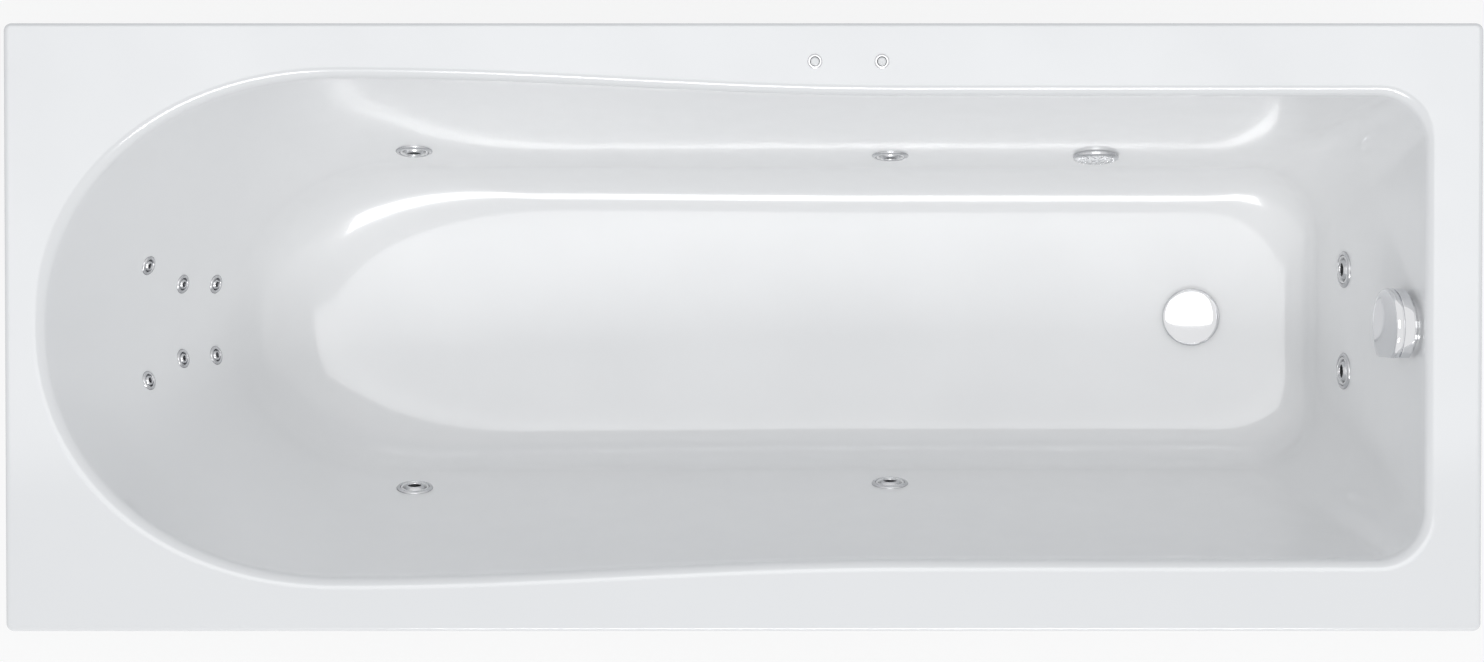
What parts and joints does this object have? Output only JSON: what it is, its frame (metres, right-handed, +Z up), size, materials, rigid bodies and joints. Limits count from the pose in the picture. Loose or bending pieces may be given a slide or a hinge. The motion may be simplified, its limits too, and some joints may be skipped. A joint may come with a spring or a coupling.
{
  "type": "jetted bathtub",
  "caption": "Rectangular built-in acrylic bathtub with a round head end, water jets, pump, air blower, pop-up waste with overflow knob and a steel frame on levelling feet.",
  "frame": {"origin": "on the ground under the middle of the rim", "axes": "+X along the tub to the foot end with the waste, +Y to the side with the push buttons, +Z up"},
  "size_m": [1.7, 0.7, 0.6043],
  "materials": {
    "acrylic": "polished white acrylic",
    "board": "raw chipboard",
    "frame_steel": "zinc-grey paint",
    "bright_steel": "zinc plated",
    "foot_plastic": "moulded",
    "chrome": "polished",
    "satin_chrome": "satin",
    "white_plastic": "moulded, glossy",
    "dark_plastic": "moulded",
    "pipe_plastic": "rigid pipe",
    "grey_plastic": "moulded",
    "hose_plastic": "flexible hose",
    "rubber": "moulded",
    "motor_metal": "painted casting"
  },
  "bodies": {
    "tub": {"acrylic_shell": "acrylic", "base_board": "board", "frame_rails": "frame_steel", "frame_cross_members": "frame_steel", "rim_supports": "frame_steel", "levelling_feet": "bright_steel", "foot_lock_nuts": "bright_steel", "jet_faces": "satin_chrome", "jet_bodies": "white_plastic", "back_jet_bodies": "satin_chrome", "suction_cover": "satin_chrome", "suction_body": "white_plastic", "suction_hose": "hose_plastic", "pump_casing": "dark_plastic", "pump_seal": "rubber", "pump_motor": "motor_metal", "pump_fan_cover": "dark_plastic", "pump_shelf": "frame_steel", "air_blower": "grey_plastic", "pressure_pipe": "pipe_plastic", "air_pipe": "pipe_plastic", "back_jet_hoses": "hose_plastic", "waste_flange": "chrome", "waste_body": "grey_plastic", "overflow_face": "chrome", "overflow_body": "grey_plastic", "overflow_hose": "hose_plastic", "control_cable": "dark_plastic", "waste_trap": "pipe_plastic", "trap_nut": "pipe_plastic", "button_bodies": "satin_chrome", "control_box": "grey_plastic", "cable_gland": "dark_plastic", "button_tubes": "hose_plastic", "flat_seals": "rubber", "ring_nuts": "white_plastic"},
    "knob": {"overflow_knob": "chrome"},
    "plug": {"waste_plug": "chrome", "plug_seal": "rubber"},
    "button_pump_cap": {"button_pump": "white_plastic"},
    "button_blower_cap": {"button_blower": "white_plastic"},
    "jet_head_plus_ring": {"jet_head_plus_bezel": "white_plastic"},
    "jet_head_plus_ball": {"jet_head_plus_eyeball": "satin_chrome"},
    "jet_mid_plus_ring": {"jet_mid_plus_bezel": "white_plastic"},
    "jet_mid_plus_ball": {"jet_mid_plus_eyeball": "satin_chrome"},
    "jet_head_minus_ring": {"jet_head_minus_bezel": "white_plastic"},
    "jet_head_minus_ball": {"jet_head_minus_eyeball": "satin_chrome"},
    "jet_mid_minus_ring": {"jet_mid_minus_bezel": "white_plastic"},
    "jet_mid_minus_ball": {"jet_mid_minus_eyeball": "satin_chrome"},
    "jet_foot_plus_ring": {"jet_foot_plus_bezel": "white_plastic"},
    "jet_foot_plus_ball": {"jet_foot_plus_eyeball": "satin_chrome"},
    "jet_foot_minus_ring": {"jet_foot_minus_bezel": "white_plastic"},
    "jet_foot_minus_ball": {"jet_foot_minus_eyeball": "satin_chrome"},
    "back_jet_upper_plus_tip": {"back_jet_upper_plus_nozzle": "satin_chrome"},
    "back_jet_upper_minus_tip": {"back_jet_upper_minus_nozzle": "satin_chrome"},
    "back_jet_middle_plus_tip": {"back_jet_middle_plus_nozzle": "satin_chrome"},
    "back_jet_middle_minus_tip": {"back_jet_middle_minus_nozzle": "satin_chrome"},
    "back_jet_lower_plus_tip": {"back_jet_lower_plus_nozzle": "satin_chrome"},
    "back_jet_lower_minus_tip": {"back_jet_lower_minus_nozzle": "satin_chrome"},
    "impeller": {"pump_impeller": "grey_plastic"}
  },
  "joints": [
    {"name": "knob_turn", "type": "hinge", "parent": "tub", "child": "knob", "pos_m": [0.77211, 0, 0.538], "axis": [-0.9724, 0, 0.2334], "range_deg": [0, 90]},
    {"name": "plug_lift", "type": "slide", "parent": "tub", "child": "plug", "axis": [0, 0, 1], "range_m": [0, 0.009]},
    {"name": "button_pump_press", "type": "slide", "parent": "tub", "child": "button_pump_cap", "axis": [0, 0, -1], "range_m": [0, 0.0025], "stiffness_N_per_m": 300, "springref_m": -0.002},
    {"name": "button_blower_press", "type": "slide", "parent": "tub", "child": "button_blower_cap", "axis": [0, 0, -1], "range_m": [0, 0.0025], "stiffness_N_per_m": 300, "springref_m": -0.002},
    {"name": "jet_head_plus_bezel_turn", "type": "hinge", "parent": "tub", "child": "jet_head_plus_ring", "pos_m": [-0.397, 0.20374, 0.305], "axis": [0.0005, -0.9598, 0.2807], "range_deg": [0, 90]},
    {"name": "jet_head_plus_eyeball_tilt", "type": "hinge", "parent": "jet_head_plus_ring", "child": "jet_head_plus_ball", "pos_m": [-0.397, 0.20853, 0.3036], "axis": [1, 0.0005, 0], "range_deg": [-15, 15]},
    {"name": "jet_mid_plus_bezel_turn", "type": "hinge", "parent": "tub", "child": "jet_mid_plus_ring", "pos_m": [0.177, 0.19818, 0.305], "axis": [-0.001, -0.9724, 0.2335], "range_deg": [0, 90]},
    {"name": "jet_mid_plus_eyeball_tilt", "type": "hinge", "parent": "jet_mid_plus_ring", "child": "jet_mid_plus_ball", "pos_m": [0.177, 0.20305, 0.30383], "axis": [1, -0.001, 0], "range_deg": [-15, 15]},
    {"name": "jet_head_minus_bezel_turn", "type": "hinge", "parent": "tub", "child": "jet_head_minus_ring", "pos_m": [-0.397, -0.20374, 0.305], "axis": [0.0005, 0.9598, 0.2807], "range_deg": [0, 90]},
    {"name": "jet_head_minus_eyeball_tilt", "type": "hinge", "parent": "jet_head_minus_ring", "child": "jet_head_minus_ball", "pos_m": [-0.397, -0.20853, 0.3036], "axis": [-1, 0.0005, 0], "range_deg": [-15, 15]},
    {"name": "jet_mid_minus_bezel_turn", "type": "hinge", "parent": "tub", "child": "jet_mid_minus_ring", "pos_m": [0.177, -0.19818, 0.305], "axis": [-0.001, 0.9724, 0.2335], "range_deg": [0, 90]},
    {"name": "jet_mid_minus_eyeball_tilt", "type": "hinge", "parent": "jet_mid_minus_ring", "child": "jet_mid_minus_ball", "pos_m": [0.177, -0.20305, 0.30383], "axis": [-1, -0.001, 0], "range_deg": [-15, 15]},
    {"name": "jet_foot_plus_bezel_turn", "type": "hinge", "parent": "tub", "child": "jet_foot_plus_ring", "pos_m": [0.72218, 0.061, 0.33], "axis": [-0.9724, 0, 0.2334], "range_deg": [0, 90]},
    {"name": "jet_foot_plus_eyeball_tilt", "type": "hinge", "parent": "jet_foot_plus_ring", "child": "jet_foot_plus_ball", "pos_m": [0.72704, 0.061, 0.32883], "axis": [0, -1, 0], "range_deg": [-15, 15]},
    {"name": "jet_foot_minus_bezel_turn", "type": "hinge", "parent": "tub", "child": "jet_foot_minus_ring", "pos_m": [0.72218, -0.061, 0.33], "axis": [-0.9724, 0, 0.2334], "range_deg": [0, 90]},
    {"name": "jet_foot_minus_eyeball_tilt", "type": "hinge", "parent": "jet_foot_minus_ring", "child": "jet_foot_minus_ball", "pos_m": [0.72704, -0.061, 0.32883], "axis": [0, -1, 0], "range_deg": [-15, 15]},
    {"name": "back_jet_upper_plus_tilt", "type": "hinge", "parent": "tub", "child": "back_jet_upper_plus_tip", "pos_m": [-0.70514, 0.06864, 0.43277], "axis": [0.292, 0.9564, 0], "range_deg": [-12, 12]},
    {"name": "back_jet_upper_minus_tilt", "type": "hinge", "parent": "tub", "child": "back_jet_upper_minus_tip", "pos_m": [-0.70514, -0.06864, 0.43277], "axis": [-0.292, 0.9564, 0], "range_deg": [-12, 12]},
    {"name": "back_jet_middle_plus_tilt", "type": "hinge", "parent": "tub", "child": "back_jet_middle_plus_tip", "pos_m": [-0.67188, 0.04494, 0.36576], "axis": [0.2018, 0.9794, 0], "range_deg": [-12, 12]},
    {"name": "back_jet_middle_minus_tilt", "type": "hinge", "parent": "tub", "child": "back_jet_middle_minus_tip", "pos_m": [-0.67188, -0.04494, 0.36576], "axis": [-0.2018, 0.9794, 0], "range_deg": [-12, 12]},
    {"name": "back_jet_lower_plus_tilt", "type": "hinge", "parent": "tub", "child": "back_jet_lower_plus_tip", "pos_m": [-0.63831, 0.04346, 0.30776], "axis": [0.2121, 0.9773, 0], "range_deg": [-12, 12]},
    {"name": "back_jet_lower_minus_tilt", "type": "hinge", "parent": "tub", "child": "back_jet_lower_minus_tip", "pos_m": [-0.63831, -0.04346, 0.30776], "axis": [-0.2121, 0.9773, 0], "range_deg": [-12, 12]},
    {"name": "impeller_spin", "type": "hinge", "parent": "tub", "child": "impeller", "pos_m": [-0.765, 0, 0.246], "axis": [0, 1, 0], "continuous": true}
  ],
  "couplings": [
    {"joint": "plug_lift", "follows": "knob_turn", "m_per_rad": 0.0057}
  ]
}
